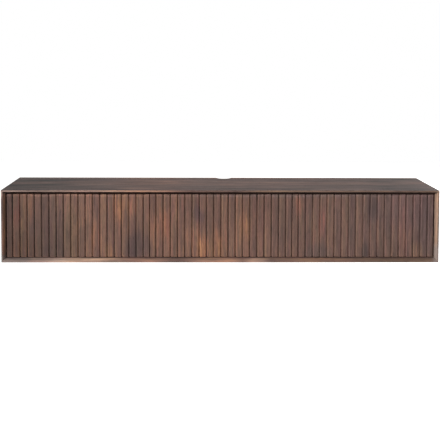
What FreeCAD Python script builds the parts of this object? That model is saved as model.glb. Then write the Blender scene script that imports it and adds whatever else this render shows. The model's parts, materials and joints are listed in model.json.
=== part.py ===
import FreeCAD, Part

import math
import os

from FreeCAD import Vector

# Wall-hung media cabinet: a mitred carcass with three ribbed fronts that drop down to open.
# X runs along the unit, to the right as seen from the front, Y runs to the rear and Z up.
# The origin is the middle of the underside. All sizes are in millimetres.

# Overall size
unit_width = 1800.0
unit_height = 298.0
unit_depth = 400.0

# Carcass boards, mitred at the corners, with a bevel round the front opening
board = 16.0
edge_flat = 6.5
bevel_run = 16.0

# Loose splines that key the mitres
spline_width = 12.0
spline_thickness = 3.0
spline_offset = 6.0
spline_front = 35.0
spline_rear = 40.0

# Loose tenons between the dividers and the top and bottom
tenon_length = 30.0
tenon_thickness = 5.0
tenon_in_divider = 18.0
tenon_in_panel = 11.0
tenon_inset = 60.0
joint_clearance = 0.1

# Ribbed fronts
front_board = 24.0
front_setback = 20.0
front_gap = 3.0
rib_pitch = 29.8
groove_width = 5.5
groove_depth = 6.0
rib_arris = 2.5
bottom_chamfer = 2.0
top_chamfer = 1.5
push_travel = 3.0
opening_angle = 90.0

# Concealed flap hinges, two to a front
hinge_from_face = 13.0
hinge_rise = 24.0
hinge_inset = 90.0
pin_radius = 2.0
eye_radius = 4.5
lug_width = 8.0
lug_side_gap = 0.3
lug_swing_gap = 0.7
lug_foot_length = 20.0
lug_shoulder = 4.0
lug_foot_gap = 2.0
base_width = 36.0
base_front = 19.0
base_length = 43.0
base_thickness = 2.5
cheek_thickness = 2.5
leaf_width = 36.0
leaf_above = 40.0
leaf_below = 12.0
leaf_thickness = 2.0
leaf_clearance = 0.3
relief_gap = 2.0

# Flap stays: a flat bar pinned to the front slides through a housing that swivels on the case
stay_pin_standoff = 14.0
stay_pin_rise = 116.0
stay_rest_angle = 16.0
stay_offset = 13.0
stay_bar_thickness = 3.0
stay_bar_height = 8.0
stay_eye_radius = 6.0
stay_pin_radius = 2.0
stay_stop_length = 6.0
stay_stop_height = 12.0
stay_stop_width = 9.0
stay_stop_gap = 0.3
stay_housing_length = 26.0
stay_housing_height = 14.0
stay_housing_width = 15.0
stay_housing_corner = 4.0
stay_plate_height = 56.0
stay_plate_width = 20.0
stay_plate_thickness = 2.5
stay_plate_corner = 4.0
stay_stud_radius = 4.5
stay_stud_length = 5.5
stay_socket_depth = 3.2
stay_bracket_height = 44.0
stay_bracket_width = 16.0
stay_bracket_thickness = 2.0
stay_cheek_gap = 0.6

# Push latches under the top panel
latch_length = 58.0
latch_width = 16.0
latch_height = 18.0
latch_gap = 5.0
latch_ear_width = 38.0
latch_ear_length = 16.0
latch_ear_thickness = 3.0
latch_drop = 12.0
plunger_radius = 3.5
plunger_length = 50.0
plunger_gap = 0.3
strike_width = 14.0
strike_thickness = 1.5
strike_clearance = 0.2

# Back panels, hanging rails and the ways for cables
back_thickness = 6.0
back_groove_depth = 6.0
back_edge_gap = 0.3
back_joint_gap = 0.6
rear_recess = 22.0
rail_height = 60.0
rail_end_margin = 86.0
wall_hole_radius = 4.0
wall_hole_spacing = 420.0
wall_hole_drop = 30.0
notch_radius = 32.0
notch_centre = 20.5
cutout_depth = 45.0
port_width = 80.0
port_height = 40.0
port_rise = 60.0
port_corner = 8.0

# Fits of pins, bars and plungers in their bores and slots, on each side
fixed_fit = 0.02
running_fit = 0.06
sliding_fit = 0.1

# Places that follow from the sizes above
half_width = unit_width / 2
half_depth = unit_depth / 2
inner_left = board - half_width
inner_right = half_width - board
floor_top = board
ceiling = unit_height - board
front_face = front_setback - half_depth
front_back = front_face + front_board
front_bottom = floor_top + front_gap
front_top = ceiling - front_gap
door_count = 3
door_width = (inner_right - inner_left - (door_count + 1) * front_gap) / door_count
door_pitch = door_width + front_gap
divider_centre = door_pitch / 2
divider_front = front_back + push_travel
back_rear = half_depth - rear_recess
back_front = back_rear - back_thickness
rail_bottom = ceiling - rail_height
wall_hole_z = ceiling - wall_hole_drop
hinge_y = front_face + hinge_from_face
hinge_z = front_bottom + hinge_rise
latch_front = front_back + latch_gap
plunger_tip = front_back + plunger_gap
plunger_z = ceiling - latch_drop

# The stay pin and the case stud lie on one circle round the hinge line, so the bar always
# points through both, and it turns by half the angle of the front.
pin_y = front_back - hinge_y + stay_pin_standoff
pin_z = stay_pin_rise
stay_circle = math.hypot(pin_y, pin_z)
pin_angle = math.atan2(pin_z, pin_y)
stud_angle = pin_angle - math.radians(stay_rest_angle)
stud_y = stay_circle * math.cos(stud_angle)
stud_z = stay_circle * math.sin(stud_angle)
bar_angle = math.atan2(stud_z - pin_z, stud_y - pin_y)
open_reach = 2 * stay_circle * math.sin(math.radians(opening_angle + stay_rest_angle) / 2)
stop_start = open_reach + stay_housing_length / 2 + stay_stop_gap

# Each front: its name, its middle, the wall that carries its stay and the way in from it
doors = [
    ("left", -door_pitch, inner_left, 1),
    ("middle", 0.0, board / 2 - divider_centre, 1),
    ("right", door_pitch, inner_right, -1),
]


def block(x0, x1, y0, y1, z0, z1):
    """A box between two values on each axis."""
    return Part.makeBox(x1 - x0, y1 - y0, z1 - z0, Vector(x0, y0, z0))


def bar_x(x0, x1, y, z, radius):
    """A round bar along X."""
    return Part.makeCylinder(radius, x1 - x0, Vector(x0, y, z), Vector(1, 0, 0))


def bar_y(x, y0, y1, z, radius):
    """A round bar along Y."""
    return Part.makeCylinder(radius, y1 - y0, Vector(x, y0, z), Vector(0, 1, 0))


def prism(corners, length):
    """A prism on a closed outline, extruded by a vector."""
    outline = Part.makePolygon(corners + corners[:1])
    return Part.Face(outline).extrude(length)


def prism_x(points, x0, x1):
    """A prism along X on an outline of (y, z) points."""
    return prism([Vector(x0, y, z) for y, z in points], Vector(x1 - x0, 0, 0))


def prism_y(points, y0, y1):
    """A prism along Y on an outline of (x, z) points."""
    return prism([Vector(x, y0, z) for x, z in points], Vector(0, y1 - y0, 0))


def clipped(a0, a1, b0, b1, corner):
    """The outline of a rectangle with its four corners cut off."""
    return [
        (a0, b0 + corner), (a0 + corner, b0), (a1 - corner, b0), (a1, b0 + corner),
        (a1, b1 - corner), (a1 - corner, b1), (a0 + corner, b1), (a0, b1 - corner),
    ]


def eight_sided(radius):
    """Half the length of one side of an eight-sided outline round a circle."""
    return radius * math.tan(math.pi / 8)


def span(wall, side, near, far):
    """Two places measured in from a wall, in rising order."""
    return sorted((wall + side * near, wall + side * far))


# Carcass

def carcass_ring():
    """The four boards as one ring, with the bevel round its front opening."""
    outer = block(-half_width, half_width, -half_depth, half_depth, 0, unit_height)
    room = block(inner_left, inner_right, -unit_depth, unit_depth, floor_top, ceiling)
    bevel = Part.makeWedge(
        edge_flat - half_width, -half_depth, edge_flat, floor_top, inner_left,
        half_width - edge_flat, bevel_run - half_depth, unit_height - edge_flat, ceiling, inner_right,
    )
    return outer.cut([room, bevel])


def mitred_board(ring, across, up):
    """One board of the ring, cut at both mitres: a side where across is set, else top or bottom."""
    reach = 2 * board
    if up:
        outer = unit_height if up > 0 else 0.0
        inner = outer - up * reach
        points = [(-half_width, outer), (half_width, outer)]
        points += [(half_width - reach, inner), (reach - half_width, inner)]
    else:
        outer = across * half_width
        inner = outer - across * reach
        points = [(outer, 0.0), (outer, unit_height)]
        points += [(inner, unit_height - reach), (inner, reach)]
    return ring.common(prism_y(points, -half_depth, half_depth))


def mitre_spline(across, up, grow=0.0):
    """The loose spline of one corner, or its slot when it is grown."""
    shift = spline_offset / math.sqrt(2)
    x = across * (half_width - board + shift)
    z = (ceiling + shift) if up > 0 else (floor_top - shift)
    wide = spline_width / 2 + grow
    thick = spline_thickness / 2 + grow
    front = spline_front - half_depth - grow
    rear = half_depth - spline_rear + grow
    key = block(x - wide, x + wide, front, rear, z - thick, z + thick)
    key.rotate(Vector(x, 0, z), Vector(0, 1, 0), 45 * across * up)
    return key


def back_groove():
    """The groove that runs round the carcass for the back panels."""
    reach = back_groove_depth
    side = back_edge_gap / 2
    return block(
        inner_left - reach, inner_right + reach, back_front - side, back_rear + side,
        floor_top - reach, ceiling + reach,
    )


def divider_tenons(x, grow=0.0):
    """The loose tenons above and below one divider, or their mortises when they are grown."""
    thick = tenon_thickness / 2 + grow
    long = tenon_length / 2 + grow
    tenons = []
    for y in (divider_front + tenon_inset, back_front - tenon_inset):
        for joint, up in ((ceiling, 1), (floor_top, -1)):
            inner = joint - up * (tenon_in_divider + grow)
            outer = joint + up * (tenon_in_panel + grow)
            low, high = sorted((inner, outer))
            tenons.append(block(x - thick, x + thick, y - long, y + long, low, high))
    return tenons


def make_carcass():
    """Top, bottom and sides."""
    ring = carcass_ring()
    groove = back_groove()
    notch = Part.makeCylinder(notch_radius, unit_height, Vector(notch_centre, half_depth, 0))
    mortises = divider_tenons(-divider_centre, joint_clearance)
    mortises += divider_tenons(divider_centre, joint_clearance)
    boards = {
        "top_panel": (0, 1),
        "bottom_panel": (0, -1),
        "left_side_panel": (-1, 0),
        "right_side_panel": (1, 0),
    }
    pieces = {}
    for name, (across, up) in boards.items():
        cuts = [groove]
        if up:
            cuts += [mitre_spline(-1, up, joint_clearance), mitre_spline(1, up, joint_clearance)]
            cuts += mortises
        else:
            cuts += [mitre_spline(across, -1, joint_clearance), mitre_spline(across, 1, joint_clearance)]
        if up > 0:
            cuts.append(notch)
        pieces[name] = mitred_board(ring, across, up).cut(cuts)
    return pieces


def make_divider(x):
    """A divider, eased at its lower front corner where the swinging fronts need room."""
    panel = block(x - board / 2, x + board / 2, divider_front, back_front, floor_top, ceiling)
    swing = math.hypot(front_back - hinge_y, hinge_rise) + relief_gap
    relief = bar_x(x - board, x + board, hinge_y, hinge_z, swing)
    toe = block(x - board, x + board, hinge_y, hinge_y + swing, 0, hinge_z)
    return panel.cut([relief, toe] + divider_tenons(x, joint_clearance))


# Rear of the unit

def back_span(name):
    """The left and right edge of a back panel."""
    edge = back_groove_depth - back_edge_gap
    near = divider_centre - back_joint_gap / 2
    far = divider_centre + back_joint_gap / 2
    spans = {
        "left": (inner_left - edge, -far),
        "middle": (-near, near),
        "right": (far, inner_right + edge),
    }
    return spans[name]


def rail_span(side):
    """The left and right end of a hanging rail, from beyond its inner hole to the side panel."""
    return span(0, side, wall_hole_spacing / 2 - rail_end_margin, inner_right)


def wall_holes():
    """Holes through the back and the rails for the screws into the wall."""
    holes = []
    for x in (wall_hole_spacing / 2, wall_hole_spacing * 3 / 2):
        holes.append(bar_y(-x, 0, unit_depth, wall_hole_z, wall_hole_radius))
        holes.append(bar_y(x, 0, unit_depth, wall_hole_z, wall_hole_radius))
    return holes


def cable_way(name, x):
    """The port in a side back panel, or the cut-out under the notch in the middle one."""
    if name == "middle":
        left = notch_centre - notch_radius
        right = notch_centre + notch_radius
        low = ceiling - cutout_depth
        high = unit_height
    else:
        left = x - port_width / 2
        right = x + port_width / 2
        low = floor_top + port_rise
        high = low + port_height
    return prism_y(clipped(left, right, low, high, port_corner), 0, unit_depth)


def make_back_panel(name, x):
    """A back panel with its way for cables."""
    left, right = back_span(name)
    reach = back_groove_depth - back_edge_gap
    panel = block(left, right, back_front, back_rear, floor_top - reach, ceiling + reach)
    return panel.cut([cable_way(name, x)] + wall_holes())


def make_rail(side):
    """A hanging rail that fills the recess behind the back panels."""
    low, high = rail_span(side)
    return block(low, high, back_rear, half_depth, rail_bottom, ceiling).cut(wall_holes())


# Flap hinges

def hinge_places(x):
    """The middles of the two hinges of a front."""
    reach = door_width / 2 - hinge_inset
    return (x - reach, x + reach)


def make_hinge_base(x):
    """A plate on the bottom panel with a lug that reaches forward to the hinge line."""
    front = hinge_y + base_front
    top = floor_top + base_thickness
    plate = block(x - base_width / 2, x + base_width / 2, front, front + base_length, floor_top, top)
    foot = hinge_y + hinge_rise + lug_foot_gap
    nose = eight_sided(eye_radius)
    outline = [
        (hinge_y - nose, hinge_z + eye_radius),
        (foot + lug_shoulder, hinge_z + eye_radius),
        (foot + lug_foot_length, top),
        (foot + lug_foot_length, floor_top),
        (foot, floor_top),
        (foot, hinge_z - eye_radius),
        (hinge_y - nose, hinge_z - eye_radius),
        (hinge_y - eye_radius, hinge_z - nose),
        (hinge_y - eye_radius, hinge_z + nose),
    ]
    left = x - lug_width / 2
    right = x + lug_width / 2
    lug = prism_x(outline, left, right)
    bore = bar_x(left, right, hinge_y, hinge_z, pin_radius + running_fit)
    return plate.fuse(lug).cut(bore).removeSplitter()


def make_hinge_leaf(x):
    """A plate let into the back of a front, with two cheeks that hold the hinge pin."""
    inner = lug_width / 2 + lug_side_gap
    low = hinge_z - leaf_below
    plate = block(
        x - leaf_width / 2, x + leaf_width / 2, front_back - leaf_thickness, front_back,
        low, hinge_z + leaf_above,
    )
    lug_way = block(x - inner, x + inner, hinge_y, half_depth, low, hinge_z + eye_radius + lug_swing_gap)
    leaf = plate.cut(lug_way)
    for side in (-1, 1):
        x0, x1 = span(x, side, inner, inner + cheek_thickness)
        cheek = block(
            x0, x1, hinge_y - eye_radius, front_back, hinge_z - eye_radius, hinge_z + eye_radius
        )
        leaf = leaf.fuse(cheek)
    bore = bar_x(x - leaf_width, x + leaf_width, hinge_y, hinge_z, pin_radius + fixed_fit)
    return leaf.cut(bore).removeSplitter()


def make_hinge_pin(x):
    """The pin between the cheeks of a leaf."""
    reach = lug_width / 2 + lug_side_gap + cheek_thickness
    return bar_x(x - reach, x + reach, hinge_y, hinge_z, pin_radius)


def hinge_mortises(x):
    """The recess for a leaf and the way in which the lug swings, cut from a front."""
    wide = leaf_width / 2 + leaf_clearance
    recess = block(
        x - wide, x + wide, front_back - leaf_thickness, front_back + leaf_thickness,
        hinge_z - leaf_below - leaf_clearance, hinge_z + leaf_above + leaf_clearance,
    )
    reach = lug_width / 2 + lug_side_gap + cheek_thickness + leaf_clearance
    swing = eye_radius + lug_swing_gap
    lug_way = block(x - reach, x + reach, hinge_y - swing, half_depth, 0, hinge_z + swing)
    return [recess, lug_way]


# Ribbed fronts

def rib_section(left, right):
    """The section of a front seen from above: ribs with eased arrises and milled grooves."""
    groove_count = int(door_width / rib_pitch)
    first = (left + right) / 2 - rib_pitch * (groove_count - 1) / 2
    shoulder = front_face + rib_arris
    floor = front_face + groove_depth
    half = groove_width / 2
    points = [(right, front_back), (left, front_back), (left, shoulder), (left + rib_arris, front_face)]
    for index in range(groove_count):
        centre = first + index * rib_pitch
        points += [
            (centre - half - rib_arris, front_face), (centre - half, shoulder), (centre - half, floor),
            (centre + half, floor), (centre + half, shoulder), (centre + half + rib_arris, front_face),
        ]
    points += [(right - rib_arris, front_face), (right, shoulder)]
    return [Vector(x, y, front_bottom) for x, y in points]


def end_section():
    """The section of a front seen from its end, eased at the face's lower and upper edge."""
    return [
        (front_back, front_bottom),
        (front_back, front_top),
        (front_face + top_chamfer, front_top),
        (front_face, front_top - top_chamfer),
        (front_face, front_bottom + bottom_chamfer),
        (front_face + bottom_chamfer, front_bottom),
    ]


def strike_plate(x, grow=0.0):
    """The strike plate let into the back of a front, or its recess when it is grown."""
    half = strike_width / 2 + grow
    return block(
        x - half, x + half, front_back - strike_thickness, front_back,
        plunger_z - half, plunger_z + half,
    )


def make_front(x):
    """A front: one board with milled grooves, mortised at the back for its fittings."""
    left = x - door_width / 2
    right = x + door_width / 2
    ribs = prism(rib_section(left, right), Vector(0, 0, front_top - front_bottom))
    front = ribs.common(prism_x(end_section(), left, right))
    cuts = [strike_plate(x, strike_clearance)]
    for hinge_x in hinge_places(x):
        cuts += hinge_mortises(hinge_x)
    return front.cut(cuts)


# Flap stays

def make_stay_plate(wall, side):
    """A plate on the wall with the stud that the stay housing swivels on."""
    y = hinge_y + stud_y
    z = hinge_z + stud_z
    x0, x1 = span(wall, side, 0, stay_plate_thickness)
    half = stay_plate_width / 2
    tall = stay_plate_height / 2
    plate = prism_x(clipped(y - half, y + half, z - tall, z + tall, stay_plate_corner), x0, x1)
    x0, x1 = span(wall, side, 0, stay_plate_thickness + stay_stud_length)
    return plate.fuse(bar_x(x0, x1, y, z, stay_stud_radius)).removeSplitter()


def make_stay_housing(wall, side):
    """The swivelling brake housing that the stay bar slides through."""
    y = hinge_y + stud_y
    z = hinge_z + stud_z
    middle = wall + side * stay_offset
    wide = stay_housing_width / 2
    long = stay_housing_length / 2
    high = stay_housing_height / 2
    outline = clipped(y - long, y + long, z - high, z + high, stay_housing_corner)
    housing = prism_x(outline, middle - wide, middle + wide)
    thick = stay_bar_thickness / 2 + sliding_fit
    tall = stay_bar_height / 2 + sliding_fit
    slot = block(middle - thick, middle + thick, y - unit_depth, y + unit_depth, z - tall, z + tall)
    mouth = stay_offset - wide
    x0, x1 = span(wall, side, mouth, mouth + stay_socket_depth)
    socket = bar_x(x0, x1, y, z, stay_stud_radius + running_fit)
    housing = housing.cut([slot, socket])
    housing.rotate(Vector(middle, y, z), Vector(1, 0, 0), math.degrees(bar_angle))
    return housing


def make_stay_bar(wall, side):
    """The flat stay bar with its eye at the front's pin and the stop at its far end."""
    y = hinge_y + pin_y
    z = hinge_z + pin_z
    middle = wall + side * stay_offset
    thick = stay_bar_thickness / 2
    tall = stay_bar_height / 2
    end = stop_start + stay_stop_length
    flat = block(middle - thick, middle + thick, y, y + end, z - tall, z + tall)
    eye = bar_x(middle - thick, middle + thick, y, z, stay_eye_radius)
    wide = stay_stop_width / 2
    half = stay_stop_height / 2
    stop = block(middle - wide, middle + wide, y + stop_start, y + end, z - half, z + half)
    bore = bar_x(middle - thick, middle + thick, y, z, stay_pin_radius + running_fit)
    stay = flat.fuse([eye, stop]).cut(bore).removeSplitter()
    stay.rotate(Vector(middle, y, z), Vector(1, 0, 0), math.degrees(bar_angle))
    return stay


def make_stay_bracket(wall, side):
    """The bracket on the back of a front, with the pin that the stay bar turns on."""
    y = hinge_y + pin_y
    z = hinge_z + pin_z
    middle = wall + side * stay_offset
    wide = stay_bracket_width / 2
    tall = stay_bracket_height / 2
    inner = stay_bar_thickness / 2 + stay_cheek_gap
    nose = eight_sided(stay_eye_radius)
    bracket = block(
        middle - wide, middle + wide, front_back, front_back + stay_bracket_thickness,
        z - tall, z + tall,
    )
    outline = [
        (front_back, z - stay_eye_radius), (y + nose, z - stay_eye_radius),
        (y + stay_eye_radius, z - nose), (y + stay_eye_radius, z + nose),
        (y + nose, z + stay_eye_radius), (front_back, z + stay_eye_radius),
    ]
    for way in (-1, 1):
        x0, x1 = span(middle, way, inner, inner + stay_bracket_thickness)
        bracket = bracket.fuse(prism_x(outline, x0, x1))
    pin = bar_x(middle - inner, middle + inner, y, z, stay_pin_radius)
    return bracket.fuse(pin).removeSplitter()


# Push latches

def make_latch_housing(x):
    """A push latch housing under the top panel, bored for its plunger."""
    wide = latch_width / 2
    rear = latch_front + latch_length
    body = block(x - wide, x + wide, latch_front, rear, ceiling - latch_height, ceiling)
    ear = latch_ear_width / 2
    middle = latch_front + latch_length / 2
    half = latch_ear_length / 2
    ears = block(x - ear, x + ear, middle - half, middle + half, ceiling - latch_ear_thickness, ceiling)
    end = plunger_tip + plunger_length + plunger_gap
    bore = bar_y(x, latch_front, end, plunger_z, plunger_radius + sliding_fit)
    return body.fuse(ears).removeSplitter().cut(bore)


def make_plunger(x):
    """The plunger that pushes the front open."""
    return bar_y(x, plunger_tip, plunger_tip + plunger_length, plunger_z, plunger_radius)


# All the pieces by name

def make_pieces():
    """Every piece of the unit, each under the name of its node."""
    pieces = make_carcass()
    pieces["left_divider"] = make_divider(-divider_centre)
    pieces["right_divider"] = make_divider(divider_centre)
    splines = [mitre_spline(across, up) for across in (-1, 1) for up in (-1, 1)]
    tenons = divider_tenons(-divider_centre) + divider_tenons(divider_centre)
    pieces["mitre_splines"] = Part.makeCompound(splines)
    pieces["divider_tenons"] = Part.makeCompound(tenons)
    pieces["left_hanging_rail"] = make_rail(-1)
    pieces["right_hanging_rail"] = make_rail(1)
    for name, x, wall, side in doors:
        hinges = hinge_places(x)
        pieces[name + "_back_panel"] = make_back_panel(name, x)
        pieces[name + "_front"] = make_front(x)
        pieces[name + "_hinge_bases"] = Part.makeCompound([make_hinge_base(place) for place in hinges])
        pieces[name + "_hinge_leaves"] = Part.makeCompound([make_hinge_leaf(place) for place in hinges])
        pieces[name + "_hinge_pins"] = Part.makeCompound([make_hinge_pin(place) for place in hinges])
        pieces[name + "_stay_plate"] = make_stay_plate(wall, side)
        pieces[name + "_stay_housing"] = make_stay_housing(wall, side)
        pieces[name + "_stay_bar"] = make_stay_bar(wall, side)
        pieces[name + "_stay_bracket"] = make_stay_bracket(wall, side)
        pieces[name + "_latch_housing"] = make_latch_housing(x)
        pieces[name + "_latch_plunger"] = make_plunger(x)
        pieces[name + "_strike_plate"] = strike_plate(x)
    return pieces


os.makedirs("parts", exist_ok=True)
for node, shape in make_pieces().items():
    shape.exportStep("parts/" + node + ".step")
    print(node, len(shape.Solids), "solids", round(shape.Volume / 1000, 2), "cm3", shape.isValid())
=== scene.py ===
import bpy, bmesh, math, json
from mathutils import Vector, Matrix

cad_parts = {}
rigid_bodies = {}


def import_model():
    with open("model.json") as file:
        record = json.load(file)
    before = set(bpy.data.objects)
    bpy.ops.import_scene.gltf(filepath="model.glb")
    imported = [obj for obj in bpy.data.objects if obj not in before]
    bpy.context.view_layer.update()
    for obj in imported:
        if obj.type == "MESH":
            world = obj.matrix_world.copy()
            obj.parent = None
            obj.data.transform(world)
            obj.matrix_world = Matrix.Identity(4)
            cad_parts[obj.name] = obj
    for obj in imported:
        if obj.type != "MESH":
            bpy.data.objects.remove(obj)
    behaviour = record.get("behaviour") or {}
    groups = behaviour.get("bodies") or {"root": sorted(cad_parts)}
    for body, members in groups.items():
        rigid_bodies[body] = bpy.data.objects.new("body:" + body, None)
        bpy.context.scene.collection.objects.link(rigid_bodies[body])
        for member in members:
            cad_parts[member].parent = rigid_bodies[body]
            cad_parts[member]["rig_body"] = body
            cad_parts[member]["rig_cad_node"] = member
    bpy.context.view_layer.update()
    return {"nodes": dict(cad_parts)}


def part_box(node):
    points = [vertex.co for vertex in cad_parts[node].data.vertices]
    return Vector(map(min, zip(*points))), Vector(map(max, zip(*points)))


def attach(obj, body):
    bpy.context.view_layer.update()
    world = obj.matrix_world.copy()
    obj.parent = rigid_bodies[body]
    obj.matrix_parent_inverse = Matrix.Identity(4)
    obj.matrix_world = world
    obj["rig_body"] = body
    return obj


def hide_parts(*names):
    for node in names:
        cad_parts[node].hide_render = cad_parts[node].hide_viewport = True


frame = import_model()
nodes = frame["nodes"]
doors = ["left", "middle", "right"]
print("frame loaded:", len(nodes), "pieces")

# camera first, as in the photograph
cameraView = {
    "place": (-0.1056, -3.8907, 0.8395),
    "downDegrees": 3.0,
    "rightDegrees": 1.233,
    "rollDegrees": -0.255,
    "lens": 74.170,
    "shiftX": 0.01,
    "shiftY": -0.2598,
}
cameraTurn = (90 - cameraView["downDegrees"], cameraView["rollDegrees"], -cameraView["rightDegrees"])
bpy.ops.object.camera_add(location=cameraView["place"], rotation=[math.radians(turn) for turn in cameraTurn])
camera = bpy.context.object
camera.data.lens = cameraView["lens"]
camera.data.shift_x = cameraView["shiftX"]
camera.data.shift_y = cameraView["shiftY"]
bpy.context.scene.camera = camera
bpy.context.scene.view_settings.view_transform = "Standard"
print("camera set")


# helpers for selecting, copying and softening
finishing = {
    "mergeWithin": 0.000002, "edge": 0.0004,  # metres
    "segments": 2, "flatDegrees": 1, "smoothDegrees": 35,
}


def onlySelect(*pieces):
    for other in bpy.context.scene.objects:
        other.select_set(False)
    for piece in pieces:
        piece.hide_set(False)
        piece.select_set(True)
    bpy.context.view_layer.objects.active = pieces[0]


def applyAll(piece):
    onlySelect(piece)
    for modifier in list(piece.modifiers):
        bpy.ops.object.modifier_apply(modifier=modifier.name)


def dressNode(nodeName, material, edge=finishing["edge"], segments=finishing["segments"],
              smoothDegrees=finishing["smoothDegrees"]):
    # a merged copy of the fitted piece with its sharp edges softened, in place of the plain one
    source = nodes[nodeName]
    piece = source.copy()
    piece.data = source.data.copy()
    piece.name = nodeName + "_finished"
    piece.parent = None
    piece.matrix_world = Matrix.Identity(4)
    del piece["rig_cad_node"]
    bpy.context.scene.collection.objects.link(piece)
    onlySelect(piece)
    bpy.ops.object.mode_set(mode="EDIT")
    bpy.ops.mesh.select_all(action="SELECT")
    bpy.ops.mesh.remove_doubles(threshold=finishing["mergeWithin"])
    bpy.ops.mesh.dissolve_limited(angle_limit=math.radians(finishing["flatDegrees"]))
    bpy.ops.object.mode_set(mode="OBJECT")
    softened = piece.modifiers.new("softened", "BEVEL")
    softened.width = edge
    softened.segments = segments
    softened.limit_method = "ANGLE"
    softened.angle_limit = math.radians(smoothDegrees)
    softened.use_clamp_overlap = True
    applyAll(piece)
    bpy.ops.object.shade_smooth_by_angle(angle=math.radians(smoothDegrees))
    # large faces stay flat up to their softened edges
    flatter = piece.modifiers.new("flatter", "WEIGHTED_NORMAL")
    flatter.keep_sharp = True
    applyAll(piece)
    piece.data.materials.clear()
    piece.data.materials.append(material)
    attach(piece, source["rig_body"])
    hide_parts(nodeName)
    return piece


# helpers for materials
def hexColour(code):
    parts = [int(code[i:i + 2], 16) / 255 for i in (0, 2, 4)]
    return tuple(p / 12.92 if p <= 0.04045 else ((p + 0.055) / 1.055) ** 2.4 for p in parts) + (1.0,)


def addNode(tree, kind, settings=None, inputs=None, stops=None):
    node = tree.nodes.new(kind)
    for key, value in (settings or {}).items():
        setattr(node, key, value)
    for key, value in (inputs or {}).items():
        if isinstance(value, bpy.types.NodeSocket):
            tree.links.new(value, node.inputs[key])
        else:
            node.inputs[key].default_value = value
    if stops:
        while len(node.color_ramp.elements) < len(stops):
            node.color_ramp.elements.new(0.5)
        for element, (place, colour) in zip(node.color_ramp.elements, stops):
            element.position = place
            element.color = colour
    return node


def newMaterial(name):
    material = bpy.data.materials.new(name)
    material.use_nodes = True
    return material, material.node_tree, material.node_tree.nodes["Principled BSDF"]


def stretched(along, across, grain):
    # a pattern scale from real sizes: along the grain and across it, in metres
    return tuple(1 / along if axis == grain else 1 / across for axis in "XYZ")


# what all the stained boards share
woodHabits = {
    "brokenGain": 2.4, "brokenBase": -0.2,  # how the streaks break up the figure
    "fadeFrom": 0.3, "fadeTo": 1.3,  # a patch of figure fades out between these parts of its half size
    "poreFrom": 0.54, "poreTo": 0.70,
    "sheenFrom": 0.3, "sheenTo": 0.7, "sheenSpread": 0.05,  # darker streaks are a little duller
    "reliefStreak": 0.3, "reliefDepth": 0.0003, "ior": 1.5,
}


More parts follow.
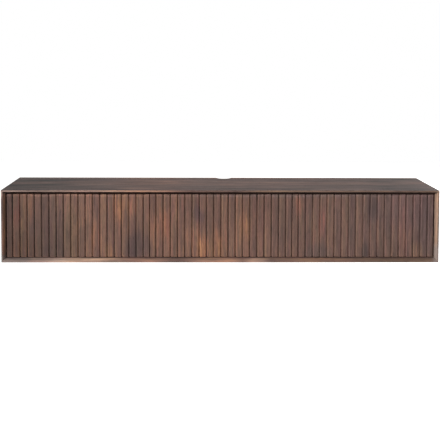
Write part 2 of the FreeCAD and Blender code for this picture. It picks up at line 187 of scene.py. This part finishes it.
def stainedWood(name, look):
    # mango, glued up from staves, walnut stain, satin lacquer: soft uneven brown under a low sheen
    habits = woodHabits
    material, tree, shader = newMaterial(name)
    place = addNode(tree, "ShaderNodeTexCoord").outputs["Object"]
    grain = look["grain"]
    # the pattern wanders a little, so that nothing runs dead straight
    wander = addNode(tree, "ShaderNodeTexNoise", inputs={
        "Vector": place, "Scale": 1 / look["wanderSize"], "Detail": 2.0, "Roughness": 0.5})
    shift = addNode(tree, "ShaderNodeVectorMath", {"operation": "MULTIPLY_ADD"}, {
        0: wander.outputs["Color"], 1: (look["wander"],) * 3, 2: place})
    bent = shift.outputs["Vector"]

    layer = {}
    for part, detail, roughness, source in (
            ("cloud", 5.0, 0.62, bent), ("streak", 4.0, 0.65, bent), ("pore", 1.0, 0.5, place)):
        spread = addNode(tree, "ShaderNodeMapping", inputs={
            "Vector": source, "Scale": stretched(look[part + "Along"], look[part + "Across"], grain)})
        noise = addNode(tree, "ShaderNodeTexNoise", inputs={
            "Vector": spread.outputs[0], "Scale": 1.0, "Detail": detail, "Roughness": roughness})
        layer[part] = noise.outputs["Fac"]
        if part == "streak":
            hue = addNode(tree, "ShaderNodeSeparateColor", inputs={"Color": noise.outputs["Color"]})
            layer["hue"] = hue.outputs["Green"]
    # each stave has a shade of its own
    split = addNode(tree, "ShaderNodeSeparateXYZ", inputs={"Vector": place})
    staveAt = addNode(tree, "ShaderNodeMath", {"operation": "MULTIPLY_ADD"}, {
        0: split.outputs[look["staveAxis"]], 1: 1 / look["staveWidth"], 2: look["staveStart"]})
    staveNumber = addNode(tree, "ShaderNodeMath", {"operation": "FLOOR"}, {0: staveAt.outputs[0]})
    layer["stave"] = addNode(tree, "ShaderNodeTexWhiteNoise", {"noise_dimensions": "1D"}, {
        "W": staveNumber.outputs[0]}).outputs["Value"]
    # three levels add up: warmth, 0 cool and 1 warm; light, 1 the plain stain; ochre, 0 rosy and 1 ochre
    levels, layers = [look["toneBase"], 1.0, 0.5], []
    for part in ("cloud", "streak", "stave", "hue"):
        layers.append((layer[part],) + look[part])
        levels = [level - change / 2 for level, change in zip(levels, look[part])]
    # painted light and shade on marked faces: bevels, arrises and flat front edges are painted lighter as
    # highlights, and grooves darker as painted shade
    marks = {mark: addNode(tree, "ShaderNodeAttribute", {"attribute_name": mark}).outputs["Fac"]
             for mark in look["marks"]}
    layers += [(marks[mark],) + changes for mark, changes in look["paintedLightAndShade"].items()]
    broken = addNode(tree, "ShaderNodeMath", {"operation": "MULTIPLY_ADD"}, {
        0: layer["streak"], 1: habits["brokenGain"], 2: habits["brokenBase"]})
    for mark, x, z, halfWide, halfHigh, *changes in look["figure"]:
        middle = Vector((x, 0, z)) / 1000 + Vector((1, 0, 1)) * look["wander"] / 2
        scale = (1000 / halfWide, 0, 1000 / halfHigh)
        start = (-middle.x * scale[0], 0, -middle.z * scale[2])
        spot = addNode(tree, "ShaderNodeMapping", inputs={"Vector": bent, "Location": start, "Scale": scale})
        reach = addNode(tree, "ShaderNodeVectorMath", {"operation": "LENGTH"}, {0: spot.outputs[0]})
        fade = addNode(tree, "ShaderNodeMapRange", {"interpolation_type": "SMOOTHSTEP"}, {
            "Value": reach.outputs["Value"], "From Min": habits["fadeFrom"], "From Max": habits["fadeTo"],
            "To Min": 1.0, "To Max": 0.0})
        patch = addNode(tree, "ShaderNodeMath", {"operation": "MULTIPLY"}, {
            0: fade.outputs[0], 1: broken.outputs[0]})
        if mark:
            patch = addNode(tree, "ShaderNodeMath", {"operation": "MULTIPLY"}, {
                0: patch.outputs[0], 1: marks[mark]})
        layers.append((patch.outputs[0], *changes))
    for cover, *changes in layers:
        for number, change in enumerate(changes):
            if change:
                levels[number] = addNode(tree, "ShaderNodeMath", {"operation": "MULTIPLY_ADD"}, {
                    0: cover, 1: change, 2: levels[number]}).outputs[0]
    warmth, light, ochre = levels
    rosyTones, ochreTones = [addNode(tree, "ShaderNodeValToRGB", inputs={"Fac": warmth}, stops=[
        (stop, hexColour(code)) for stop, code in zip(look["stops"], look[tones])]).outputs["Color"]
        for tones in ("rosy", "ochre")]
    colour = addNode(tree, "ShaderNodeMix", {"data_type": "RGBA"}, {
        0: ochre, 6: rosyTones, 7: ochreTones}).outputs[2]
    poreDark = addNode(tree, "ShaderNodeMapRange", inputs={
        "Value": layer["pore"], "From Min": habits["poreFrom"], "From Max": habits["poreTo"],
        "To Min": 1.0, "To Max": 1 - look["poreDark"]})
    both = addNode(tree, "ShaderNodeMath", {"operation": "MULTIPLY"}, {0: light, 1: poreDark.outputs[0]})
    scaled = addNode(tree, "ShaderNodeVectorMath", {"operation": "SCALE"}, {
        0: colour, "Scale": both.outputs[0]})
    tree.links.new(scaled.outputs["Vector"], shader.inputs["Base Color"])
    rough = addNode(tree, "ShaderNodeMapRange", inputs={
        "Value": layer["streak"], "From Min": habits["sheenFrom"], "From Max": habits["sheenTo"],
        "To Min": look["roughness"] + habits["sheenSpread"],
        "To Max": look["roughness"] - habits["sheenSpread"]})
    tree.links.new(rough.outputs[0], shader.inputs["Roughness"])
    relief = addNode(tree, "ShaderNodeMath", {"operation": "MULTIPLY_ADD"}, {
        0: layer["streak"], 1: habits["reliefStreak"], 2: poreDark.outputs[0]})
    bump = addNode(tree, "ShaderNodeBump", inputs={
        "Strength": look["relief"], "Distance": habits["reliefDepth"], "Height": relief.outputs[0]})
    tree.links.new(bump.outputs["Normal"], shader.inputs["Normal"])
    shader.inputs["IOR"].default_value = habits["ior"]
    shader.inputs["Specular IOR Level"].default_value = look["gloss"]
    return material


# case
caseBoards = {
    "grain": "X", "wander": 0.012, "wanderSize": 0.25,
    # sizes in metres, then how much warmer, lighter and more ochre each pattern makes the wood
    "cloudAlong": 0.26, "cloudAcross": 0.060, "cloud": (0.45, 1.8, 0.2),
    "streakAlong": 0.16, "streakAcross": 0.012, "streak": (0.5, 1.2, 0.0), "hue": (0.0, 0.0, 1.6),
    "poreAlong": 0.025, "poreAcross": 0.0018, "poreDark": 0.30,  # about twice as coarse as real pores
    "staveAxis": "Y", "staveWidth": 0.095, "staveStart": 0.3, "stave": (0.25, 0.34, 0.1),
    "toneBase": 0.35, "stops": (0.0, 0.3, 0.55, 0.8, 1.0),
    "rosy": ("574948", "644d4a", "71514a", "82564a", "93654e"),
    "ochre": ("534a45", "605148", "6d5748", "7c5d45", "8d6b4a"),
    # painted highlight: the bevels and the flat front edges are painted lighter
    "paintedLightAndShade": {"easedFace": (0.08, 0.62, 0.1), "frontEdge": (0.10, 0.50, 0.1)},
    "marks": ("easedFace", "frontEdge", "caseFront"),
    "roughness": 0.60, "gloss": 0.075, "relief": 0.35,
    # patches of tone, mostly figure in the timber, with painted light and shade where a note says so: the
    # faces it keeps to (all of them where none are named), its middle x and z and its half width and height
    # in mm, and how much warmer, lighter and more ochre it is
    "figure": [
        ("", -950, 300, 420, 14, -0.05, -0.50, 0.1), ("", -300, 300, 160, 14, 0.12, 0.0, 0.0),
        ("", 620, 300, 420, 14, 0.0, -0.12, 0.0), ("", 0, 300, 1500, 14, 0.0, -0.08, 0.0),
        ("", 120, 300, 620, 14, 0.0, 0.12, 0.0), ("", 750, 300, 110, 14, 0.0, -0.18, 0.0),
        # the top's flat front edge: lighter at the left and darker in places, partly paler timber and partly
        # painted highlight
        ("frontEdge", -900, 295, 420, 30, -0.10, 1.6, 0.0),
        ("frontEdge", -400, 295, 220, 30, 0.05, 0.80, 0.1),
        ("frontEdge", 450, 295, 520, 30, 0.10, 0.28, 0.3),
        ("frontEdge", 20, 295, 330, 30, 0.0, -0.30, 0.0), ("frontEdge", -700, 295, 200, 30, 0.0, -0.25, 0.0),
        # the bottom board's bevelled front: lighter and cooler towards the left end, darker towards the
        # right
        ("caseFront", -880, 8, 90, 20, -1.0, 1.0, 0.1), ("caseFront", -720, 8, 100, 22, -0.10, 1.45, 0.2),
        ("caseFront", -590, 8, 120, 20, 0.0, 1.20, 0.3), ("caseFront", -470, 8, 90, 20, 0.05, 0.95, 0.3),
        ("caseFront", -300, 8, 110, 20, 0.15, 0.35, 0.0), ("caseFront", -20, 8, 120, 20, 0.20, 0.50, 0.2),
        ("caseFront", 150, 8, 50, 20, 0.10, 1.30, 0.2), ("caseFront", 400, 8, 200, 20, 0.15, 0.02, 0.1),
        ("caseFront", 760, 8, 200, 20, 0.1, -0.30, 0.3),
        # the left side's bevel: lighter on its outer half, and darker on its inner half as painted shade by
        # the recess
        ("easedFace", -890, 130, 5, 190, 0.30, 0.85, 0.2), ("easedFace", -884, 150, 5, 190, 0.2, -0.4, 0.3),
        # painted highlight on the right side's bevel, paler and cooler at its lower corner
        ("caseFront", 893, 190, 20, 190, 0.0, 0.50, 0.5), ("easedFace", 890, 180, 20, 190, 0.1, 1.20, 0.6),
        ("caseFront", 893, 15, 20, 60, -0.6, 1.40, -0.2),
    ],
    "edge": 0.0007,
}
caseLong = stainedWood("stainedMangoLacquered_alongX", caseBoards)
caseUpright = stainedWood("stainedMangoLacquered_upright", dict(caseBoards, grain="Z"))


# how far a face looks forward or up, as a part of its normal, and how far forward it lies in metres
faceLimits = {
    "slopeFrom": 0.35, "slopeTo": 0.93, "level": 0.3,
    "frontPart": -0.16, "grooveBottom": -0.1785, "caseBevel": -0.183, "caseEdge": -0.195,
}


def markFaces(piece):
    # marks bevels, arrises, grooves and the flat front edge, where painted highlights, painted shade and
    # some patches of tone are laid
    limits = faceLimits
    marks = {name: piece.data.attributes.new(name, "FLOAT", "FACE").data
             for name in ("easedFace", "lowerArris", "grooveFace", "frontEdge", "caseFront")}
    for face in piece.data.polygons:
        forward, up, depth = -face.normal.y, face.normal.z, face.center.y
        slope = limits["slopeFrom"] < forward < limits["slopeTo"] and depth < limits["frontPart"]
        upright = forward > -limits["level"] and abs(up) < limits["level"]
        found = {
            "easedFace": slope and up > -limits["level"],
            "lowerArris": slope and up <= -limits["level"],
            "grooveFace": upright and depth > limits["grooveBottom"],
            "frontEdge": forward >= limits["slopeTo"] and depth < limits["caseEdge"],
            "caseFront": forward > limits["slopeFrom"] and depth < limits["caseBevel"],
        }
        for name, mark in marks.items():
            mark[face.index].value = float(found[name])
    return piece


for board in ("top_panel", "bottom_panel"):
    markFaces(dressNode(board, caseLong, caseBoards["edge"]))
for board in ("left_side_panel", "right_side_panel", "left_divider", "right_divider"):
    markFaces(dressNode(board, caseUpright, caseBoards["edge"]))
print("case done")

# ribbed fronts
ribbedFront = {
    "grain": "Z", "wander": 0.014, "wanderSize": 0.10,
    "cloudAlong": 0.09, "cloudAcross": 0.022, "cloud": (0.38, 0.35, 0.3),
    # streaks and pores are drawn about twice as coarse as real ones, to show
    "streakAlong": 0.17, "streakAcross": 0.0095, "streak": (0.6, 1.4, 0.0), "hue": (0.0, 0.0, 1.9),
    "poreAlong": 0.022, "poreAcross": 0.0018, "poreDark": 0.35,
    "staveAxis": "X", "staveWidth": 0.0298, "stave": (0.12, 0.17, 0.12),
    "staveStarts": {"left": 0.742, "middle": 0.0, "right": 0.258},
    "toneBase": 0.49, "stops": (0.0, 0.25, 0.5, 0.75, 1.0),
    "rosy": ("514342", "644d4a", "72514a", "85564a", "9a664f"),
    "ochre": ("4e4540", "605148", "705949", "816047", "966f4b"),
    # painted light and shade: the arrises lighter as painted highlights, the down-facing lower arrises much
    # lighter against their shade, and the grooves darker as painted shade
    "paintedLightAndShade": {
        "easedFace": (0.02, 0.46, 0.0), "lowerArris": (0.0, 2.4, 0.0), "grooveFace": (0.0, -0.28, 0.1)},
    "marks": ("easedFace", "lowerArris", "grooveFace"),
    "roughness": 0.55, "gloss": 0.22, "relief": 0.35,
    # figure in the timber, with painted light and shade where a note says so, given as for the case
    "figure": [
        ("", -865, 150, 75, 260, -0.05, -0.40, 0.0), ("", -841, 190, 16, 60, 0.10, 0.0, -0.4),
        ("", -812, 165, 14, 110, 0.10, -0.04, 0.4), ("", -783, 222, 16, 70, 0.22, 0.04, 0.1),
        ("", -742, 123, 60, 260, -0.13, -0.26, 0.0), ("", -645, 90, 62, 150, -0.10, -0.17, 0.1),
        ("", -597, 123, 34, 140, 0.14, 0.06, 0.3), ("", -514, 103, 26, 90, 0.10, 0.04, 0.0),
        ("", -423, 215, 34, 70, 0.20, 0.06, 0.05), ("", -369, 228, 26, 50, 0.14, 0.06, 0.0),
        ("", -350, 58, 60, 72, -0.28, -0.17, -0.2), ("", -462, 38, 20, 45, 0.18, 0.08, 0.3),
        ("", -272, 163, 34, 120, 0.14, 0.06, 0.1), ("", -229, 150, 26, 70, 0.12, -0.08, -0.2),
        ("", -250, 250, 50, 70, -0.05, -0.14, 0.0), ("", -95, 60, 60, 90, 0.10, 0.15, 0.1),
        ("", -99, 198, 16, 40, -0.25, -0.05, -0.3), ("", -79, 183, 14, 30, -0.15, -0.04, -0.2),
        ("", -77, 53, 24, 65, 0.20, 0.08, 0.0), ("", -20, 60, 40, 90, 0.23, 0.16, 0.1),
        ("", 105, 143, 28, 75, 0.14, 0.04, 0.0), ("", 150, 60, 160, 80, 0.0, 0.10, 0.0),
        ("", 190, 245, 330, 60, -0.02, -0.06, 0.0),
        ("", 238, 143, 80, 240, -0.10, -0.06, 0.0), ("", 323, 228, 24, 60, 0.12, 0.05, -0.2),
        ("", 418, 163, 16, 80, 0.15, 0.04, -0.5), ("", 633, 218, 26, 60, -0.22, -0.08, -0.2),
        ("", 596, 38, 16, 40, -0.18, -0.05, -0.1), ("", 593, 143, 330, 260, -0.13, 0.03, 0.0),
        ("", 761, 133, 28, 120, 0.08, 0.02, -0.2), ("", 815, 43, 30, 45, 0.14, 0.10, 0.2),
        ("", 790, 220, 150, 110, -0.12, 0.12, -0.3), ("", 820, 60, 120, 90, -0.05, 0.08, -0.1),
        ("", 855, 163, 40, 170, -0.18, 0.02, -0.1), ("", -800, 40, 60, 80, 0.04, -0.22, 0.0),
        # after the first patch on this line and through the next line: cooler and lighter rib tops, a
        # painted highlight where light from above falls on the ribs' upper ends
        ("", 400, 30, 70, 50, -0.18, 0.0, 0.0), ("", 300, 280, 560, 18, -0.20, 0.16, 0.0),
        ("", 0, 273, 1300, 5, 0.0, 0.30, 0.0), ("", -620, 275, 300, 4, 0.0, 0.20, 0.0),
        # a darker band along the fronts' top edge, painted shadow under the top, and lighter grooves in the
        # right third, painted light on their lit flanks
        ("", -400, 284, 900, 6, 0.0, -0.40, 0.0), ("grooveFace", 600, 140, 330, 220, 0.0, 0.45, 0.0),
    ],
    "edge": 0.0009, "segments": 3, "smoothDegrees": 30,
}
for door in doors:
    low, high = [corner.x * 1000 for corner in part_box(door + "_front")]
    ownLook = dict(ribbedFront, staveStart=ribbedFront["staveStarts"][door])
    # each front takes only the figure that can reach it
    margin = ribbedFront["wander"] * 1000
    ownLook["figure"] = [
        patch for patch in ribbedFront["figure"]
        if low - margin < patch[1] + patch[3] * woodHabits["fadeTo"]
        and high + margin > patch[1] - patch[3] * woodHabits["fadeTo"]]
    frontWood = stainedWood("stainedMangoMilled_" + door, ownLook)
    front = dressNode(
        door + "_front", frontWood,
        ribbedFront["edge"], ribbedFront["segments"], ribbedFront["smoothDegrees"])
    markFaces(front)
print("fronts done")

# back, rails and joinery
backBoard = dict(
    caseBoards, paintedLightAndShade={}, marks=(), figure=[], stave=(0.0, 0.0, 0.0),
    cloud=(0.4, 0.2, 0.3), streak=(0.3, 0.9, 0.0), relief=0.2, stops=(0.0, 0.5, 1.0),
    rosy=("4f413d", "634c45", "77594d"), ochre=("4d433c", "605046", "73604d"), edge=0.0003, segments=1)
# veneered board under a matt stain: dark, even and without shine
backWood = stainedWood("veneeredBoardMatt", backBoard)
rail = dict(
    backBoard, streakAcross=0.007, streakAlong=0.4, streak=(0.9, 0.25, 0.0), poreDark=0.08,
    rosy=("bd9470", "d3ad87", "dfbf9b"), ochre=("b8946a", "cdac80", "dbc096"), edge=0.0008, segments=2)
# planed pine, left bare: pale, with broad warm bands of summer and winter growth
railWood = stainedWood("planedPine", rail)
# planed beech, left bare: pale pink and even, with small dark flecks
beechWood = stainedWood("planedBeech", dict(
    backBoard, streak=(0.5, 0.2, 0.0), poreDark=0.2,
    rosy=("ba8d6a", "c89c78", "d5ab87"), ochre=("b69066", "c39f74", "d0ae82")))
for door in doors:
    dressNode(door + "_back_panel", backWood, backBoard["edge"], backBoard["segments"])
for side in ("left", "right"):
    dressNode(side + "_hanging_rail", railWood, rail["edge"], rail["segments"])
# the joinery is hidden, so its plain solids stay and only take the wood
for hidden in ("mitre_splines", "divider_tenons"):
    nodes[hidden].data.materials.clear()
    nodes[hidden].data.materials.append(beechWood)
print("back done")


# metal and plastic, sizes in metres; rolling lines and grit are drawn coarser than real ones, to show
metalHabits = {
    "cloudSize": 0.018, "lineLong": 0.03, "lineWide": 0.0006, "lineShare": 0.4,
    "patternFrom": 0.4, "patternTo": 0.9, "duller": 0.08, "shinier": 0.04,
    "relief": 0.15, "reliefDepth": 0.0001,
}
plasticHabits = {
    "cloudSize": 0.012, "gritSize": 0.0004, "patternFrom": 0.3, "patternTo": 0.7, "gritDepth": 0.0001,
}


def platedSteel(name, look):
    # pressed and plated steel: soft cloudy shine, with fine rolling lines
    habits = metalHabits
    material, tree, shader = newMaterial(name)
    place = addNode(tree, "ShaderNodeTexCoord").outputs["Object"]
    cloud = addNode(tree, "ShaderNodeTexNoise", inputs={
        "Vector": place, "Scale": 1 / habits["cloudSize"], "Detail": 3.0})
    lines = addNode(tree, "ShaderNodeMapping", inputs={
        "Vector": place, "Scale": stretched(habits["lineLong"], habits["lineWide"], look["lines"])})
    fine = addNode(tree, "ShaderNodeTexNoise", inputs={
        "Vector": lines.outputs[0], "Scale": 1.0, "Detail": 2.0})
    both = addNode(tree, "ShaderNodeMath", {"operation": "MULTIPLY_ADD"}, {
        0: fine.outputs[0], 1: habits["lineShare"], 2: cloud.outputs[0]})
    colour = addNode(tree, "ShaderNodeValToRGB", inputs={"Fac": both.outputs[0]}, stops=[
        (habits["patternFrom"], hexColour(look["dark"])), (habits["patternTo"], hexColour(look["light"]))])
    rough = addNode(tree, "ShaderNodeMapRange", inputs={
        "Value": both.outputs[0], "From Min": habits["patternFrom"], "From Max": habits["patternTo"],
        "To Min": look["roughness"] + habits["duller"], "To Max": look["roughness"] - habits["shinier"]})
    bump = addNode(tree, "ShaderNodeBump", inputs={
        "Strength": habits["relief"], "Distance": habits["reliefDepth"], "Height": fine.outputs[0]})
    tree.links.new(colour.outputs["Color"], shader.inputs["Base Color"])
    tree.links.new(rough.outputs[0], shader.inputs["Roughness"])
    tree.links.new(bump.outputs["Normal"], shader.inputs["Normal"])
    shader.inputs["Metallic"].default_value = 1.0
    return material


def mouldedPlastic(name, look):
    # moulded plastic: an even colour with a fine spark-eroded grain that dulls the light
    habits = plasticHabits
    material, tree, shader = newMaterial(name)
    place = addNode(tree, "ShaderNodeTexCoord").outputs["Object"]
    cloud = addNode(tree, "ShaderNodeTexNoise", inputs={
        "Vector": place, "Scale": 1 / habits["cloudSize"], "Detail": 2.0})
    grit = addNode(tree, "ShaderNodeTexNoise", inputs={
        "Vector": place, "Scale": 1 / habits["gritSize"], "Detail": 1.0})
    colour = addNode(tree, "ShaderNodeValToRGB", inputs={"Fac": cloud.outputs[0]}, stops=[
        (habits["patternFrom"], hexColour(look["dark"])), (habits["patternTo"], hexColour(look["light"]))])
    bump = addNode(tree, "ShaderNodeBump", inputs={
        "Strength": look["grit"], "Distance": habits["gritDepth"], "Height": grit.outputs[0]})
    tree.links.new(colour.outputs["Color"], shader.inputs["Base Color"])
    tree.links.new(bump.outputs["Normal"], shader.inputs["Normal"])
    shader.inputs["Roughness"].default_value = look["roughness"]
    return material


# lines is the axis that the rolling lines follow, grit the strength of the moulded grain
fittingFinishes = {
    "nickel": {"dark": "a9a69f", "light": "cfccc4", "roughness": 0.32, "lines": "X"},
    "bright": {"dark": "b4b4b4", "light": "d8d8d8", "roughness": 0.20, "lines": "Y"},
    "zinc": {"dark": "9fa3a8", "light": "c9ccd1", "roughness": 0.38, "lines": "Y"},
    "latch": {"dark": "47474a", "light": "4f4f52", "roughness": 0.52, "grit": 0.3},
    "stay": {"dark": "363638", "light": "3e3e41", "roughness": 0.50, "grit": 0.3},
    "plunger": {"dark": "d8d8d2", "light": "e2e2dd", "roughness": 0.38, "grit": 0.1},
}
nickel = platedSteel("nickelPlatedSteel_pressed", fittingFinishes["nickel"])
bright = platedSteel("brightSteel_ground", fittingFinishes["bright"])
zinc = platedSteel("zincPlatedSteel", fittingFinishes["zinc"])
latchPlastic = mouldedPlastic("acetal_moulded_grey", fittingFinishes["latch"])
stayPlastic = mouldedPlastic("nylon_moulded_dark", fittingFinishes["stay"])
plungerPlastic = mouldedPlastic("acetal_moulded_white", fittingFinishes["plunger"])
# each fitting with its finish, its slot, its softened edge in metres and the segments of that edge
fittings = {
    "hinge_bases": (nickel, "nickel_steel", 0.0004, 2),
    "hinge_leaves": (nickel, "nickel_steel", 0.0003, 2),
    "hinge_pins": (bright, "bright_steel", 0.0003, 2),
    "stay_plate": (nickel, "nickel_steel", 0.0004, 2),
    "stay_bracket": (nickel, "nickel_steel", 0.0003, 2),
    "stay_bar": (bright, "bright_steel", 0.0004, 2),
    "stay_housing": (stayPlastic, "stay_plastic", 0.0008, 3),
    "latch_housing": (latchPlastic, "latch_plastic", 0.0008, 3),
    "latch_plunger": (plungerPlastic, "plunger_plastic", 0.0012, 3),
    "strike_plate": (zinc, "zinc_steel", 0.0003, 2),
}
for door in doors:
    for fitting, (finish, slotName, edge, segments) in fittings.items():
        dressNode(door + "_" + fitting, finish, edge, segments)
print("fittings done")

# screws
screwHead = {
    "radius": 0.0035, "height": 0.0012, "rim": 0.0009, "dome": 0.0004, "crown": 0.4, "sunk": 0.25,
    "slotLong": 0.0038, "slotWide": 0.0008, "slotDeep": 0.0010, "slotTurn": 20, "turnStep": 1.3,
    "sides": 20, "topFacing": 0.9,
}
# where the screws sit on each fitting, in metres from its edges or its middle
screwPlaces = {
    "hingeFromEnd": 0.018, "hingeSide": 0.012, "baseBacks": (0.010, 0.034), "baseThick": 0.0025,
    "leafUps": (0.006, 0.042), "stayEnd": 0.006, "stayPlateThick": 0.0025, "bracketThick": 0.002,
    "latchSide": 0.0055, "latchLip": 0.003,
    "backUps": (0.045, 0.120, 0.195), "backSide": 0.0043, "railUps": (0.235, 0.263), "railSunk": 0.0016,
}
bpy.ops.object.select_all(action="DESELECT")
bpy.ops.mesh.primitive_cylinder_add(
    vertices=screwHead["sides"], radius=screwHead["radius"], depth=screwHead["height"], location=(0, 0, 0))
screw = bpy.context.object
onlySelect(screw)
bpy.ops.object.mode_set(mode="EDIT")
bpy.ops.mesh.select_all(action="DESELECT")
bpy.ops.mesh.select_mode(type="FACE")
shape = bmesh.from_edit_mesh(screw.data)
for face in shape.faces:
    face.select_set(face.normal.z > screwHead["topFacing"])
bmesh.update_edit_mesh(screw.data)
bpy.ops.mesh.inset(thickness=screwHead["rim"])
bpy.ops.transform.translate(value=(0, 0, screwHead["dome"]))
bpy.ops.mesh.inset(thickness=screwHead["rim"])
bpy.ops.transform.translate(value=(0, 0, screwHead["dome"] * screwHead["crown"]))
bpy.ops.object.mode_set(mode="OBJECT")
for turn in (0, 90):
    bpy.ops.mesh.primitive_cube_add(size=1, location=(0, 0, screwHead["height"] / 2 + screwHead["dome"]))
    cutter = bpy.context.object
    cutter.scale = (screwHead["slotLong"], screwHead["slotWide"], screwHead["slotDeep"] * 2)
    cutter.rotation_euler = (0, 0, math.radians(turn + screwHead["slotTurn"]))
    bpy.ops.object.transform_apply(location=True, rotation=True, scale=True)
    slotCut = screw.modifiers.new("slot", "BOOLEAN")
    slotCut.object = cutter
    slotCut.operation = "DIFFERENCE"
    applyAll(screw)
    bpy.data.objects.remove(cutter)
bpy.ops.object.shade_smooth_by_angle(angle=math.radians(finishing["smoothDegrees"]))


def placeScrews(name, body, places):
    # copies of the screw head, each turned to its own face and joined into one piece
    copies = []
    for number, (place, facing) in enumerate(places):
        copy = screw.copy()
        copy.data = screw.data.copy()
        turn = Matrix.Rotation(number * screwHead["turnStep"], 4, "Z")
        aim = Vector(facing).to_track_quat("Z", "Y").to_matrix().to_4x4()
        seat = Matrix.Translation((0, 0, screwHead["height"] * screwHead["sunk"]))
        copy.data.transform(Matrix.Translation(place) @ aim @ turn @ seat)
        bpy.context.scene.collection.objects.link(copy)
        copies.append(copy)
    onlySelect(*copies)
    bpy.ops.object.join()
    group = bpy.context.object
    group.name = name
    group.data.materials.clear()
    group.data.materials.append(zinc)
    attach(group, body)


caseScrews = []
for door in doors:
    low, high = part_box(door + "_hinge_bases")
    for middle in (low.x + screwPlaces["hingeFromEnd"], high.x - screwPlaces["hingeFromEnd"]):
        for side in (-screwPlaces["hingeSide"], screwPlaces["hingeSide"]):
            for back in screwPlaces["baseBacks"]:
                seat = (middle + side, high.y - back, low.z + screwPlaces["baseThick"])
                caseScrews.append((seat, (0, 0, 1)))
    low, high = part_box(door + "_stay_plate")
    inward = 1 if door != "right" else -1
    plateFace = (low.x if inward > 0 else high.x) + inward * screwPlaces["stayPlateThick"]
    for end in (low.z + screwPlaces["stayEnd"], high.z - screwPlaces["stayEnd"]):
        caseScrews.append(((plateFace, (low.y + high.y) / 2, end), (inward, 0, 0)))
    low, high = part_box(door + "_latch_housing")
    for side in (low.x + screwPlaces["latchSide"], high.x - screwPlaces["latchSide"]):
        caseScrews.append(((side, (low.y + high.y) / 2, high.z - screwPlaces["latchLip"]), (0, 0, -1)))
    doorScrews = []
    low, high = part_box(door + "_hinge_leaves")
    for middle in (low.x + screwPlaces["hingeFromEnd"], high.x - screwPlaces["hingeFromEnd"]):
        for side in (-screwPlaces["hingeSide"], screwPlaces["hingeSide"]):
            for up in screwPlaces["leafUps"]:
                doorScrews.append(((middle + side, high.y, low.z + up), (0, 1, 0)))
    low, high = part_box(door + "_stay_bracket")
    for end in (low.z + screwPlaces["stayEnd"], high.z - screwPlaces["stayEnd"]):
        doorScrews.append((((low.x + high.x) / 2, low.y + screwPlaces["bracketThick"], end), (0, 1, 0)))
    placeScrews(door + "_front_screws", door + "_front", doorScrews)
for divider in ("left_divider", "right_divider"):
    low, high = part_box(divider)
    middle = (low.x + high.x) / 2
    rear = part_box("middle_back_panel")[1].y
    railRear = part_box("left_hanging_rail")[1].y
    for up in screwPlaces["backUps"]:
        for side in (-screwPlaces["backSide"], screwPlaces["backSide"]):
            caseScrews.append(((middle + side, rear, up), (0, 1, 0)))
    for up in screwPlaces["railUps"]:
        caseScrews.append(((middle, railRear - screwPlaces["railSunk"], up), (0, 1, 0)))
placeScrews("cabinet_screws", "cabinet", caseScrews)
bpy.data.objects.remove(screw)
print("screws done")

# floor, light and background
studio = {
    "floorHeight": -0.42, "floorSize": 14.0, "floorRoughness": 0.9,
    "floorTone": "f3f2f0", "floorGlow": 0.8,  # as the camera sees it
    "floorBounce": "4a4948",  # as it lights the underside
    "keyPlace": (-4.2, -5.6, 2.9), "keySize": 2.0, "keyPower": 585.0,
    "fillPlace": (3.4, -4.4, 1.8), "fillSize": 3.0, "fillPower": 80.0,
    "rearPlace": (4.4, 4.2, 1.5), "rearSize": 3.0, "rearPower": 280.0,
    "aimHeight": 0.15, "ambient": 0.11,
}
bpy.ops.mesh.primitive_plane_add(size=studio["floorSize"], location=(0, 0, studio["floorHeight"]))
floor = bpy.context.object
floor.name = "floor"
# matt white paint: bright and even to the camera, but it throws little light up at the underside
floorPaint, tree, shader = newMaterial("floorMattPaint")
shader.inputs["Roughness"].default_value = studio["floorRoughness"]
cameraRay = addNode(tree, "ShaderNodeLightPath").outputs["Is Camera Ray"]
paint = addNode(tree, "ShaderNodeMix", {"data_type": "RGBA"}, {
    0: cameraRay, 6: hexColour(studio["floorBounce"]), 7: hexColour(studio["floorTone"])})
tree.links.new(paint.outputs[2], shader.inputs["Base Color"])
shader.inputs["Emission Color"].default_value = (1, 1, 1, 1)
glow = addNode(tree, "ShaderNodeMath", {"operation": "MULTIPLY"}, {0: cameraRay, 1: studio["floorGlow"]})
tree.links.new(glow.outputs[0], shader.inputs["Emission Strength"])
floor.data.materials.append(floorPaint)


def addLamp(name, place, size, power):
    # a square softbox turned to the middle of the unit
    bpy.ops.object.light_add(type="AREA", location=place)
    lamp = bpy.context.object
    lamp.name = name
    lamp.data.shape = "SQUARE"
    lamp.data.size = size
    lamp.data.energy = power
    aim = Vector((0, 0, studio["aimHeight"])) - Vector(place)
    lamp.rotation_euler = aim.to_track_quat("-Z", "Y").to_euler()


addLamp("keyLight", studio["keyPlace"], studio["keySize"], studio["keyPower"])
addLamp("fillLight", studio["fillPlace"], studio["fillSize"], studio["fillPower"])
addLamp("rearLight", studio["rearPlace"], studio["rearSize"], studio["rearPower"])
# the background is white to the camera and in reflections, and lights the unit only softly
world = bpy.data.worlds.new("whiteStudio")
bpy.context.scene.world = world
world.use_nodes = True
tree = world.node_tree
backdrop = tree.nodes["Background"]
rays = addNode(tree, "ShaderNodeLightPath")
seen = addNode(tree, "ShaderNodeMath", {"operation": "MAXIMUM"}, {
    0: rays.outputs["Is Camera Ray"], 1: rays.outputs["Is Glossy Ray"]})
seen = addNode(tree, "ShaderNodeMath", {"operation": "MAXIMUM"}, {
    0: seen.outputs[0], 1: rays.outputs["Is Transmission Ray"]})
level = addNode(tree, "ShaderNodeMapRange", inputs={
    "Value": seen.outputs[0], "To Min": studio["ambient"], "To Max": 1.0})
tree.links.new(level.outputs[0], backdrop.inputs["Strength"])
backdrop.inputs["Color"].default_value = (1, 1, 1, 1)
print("light done")
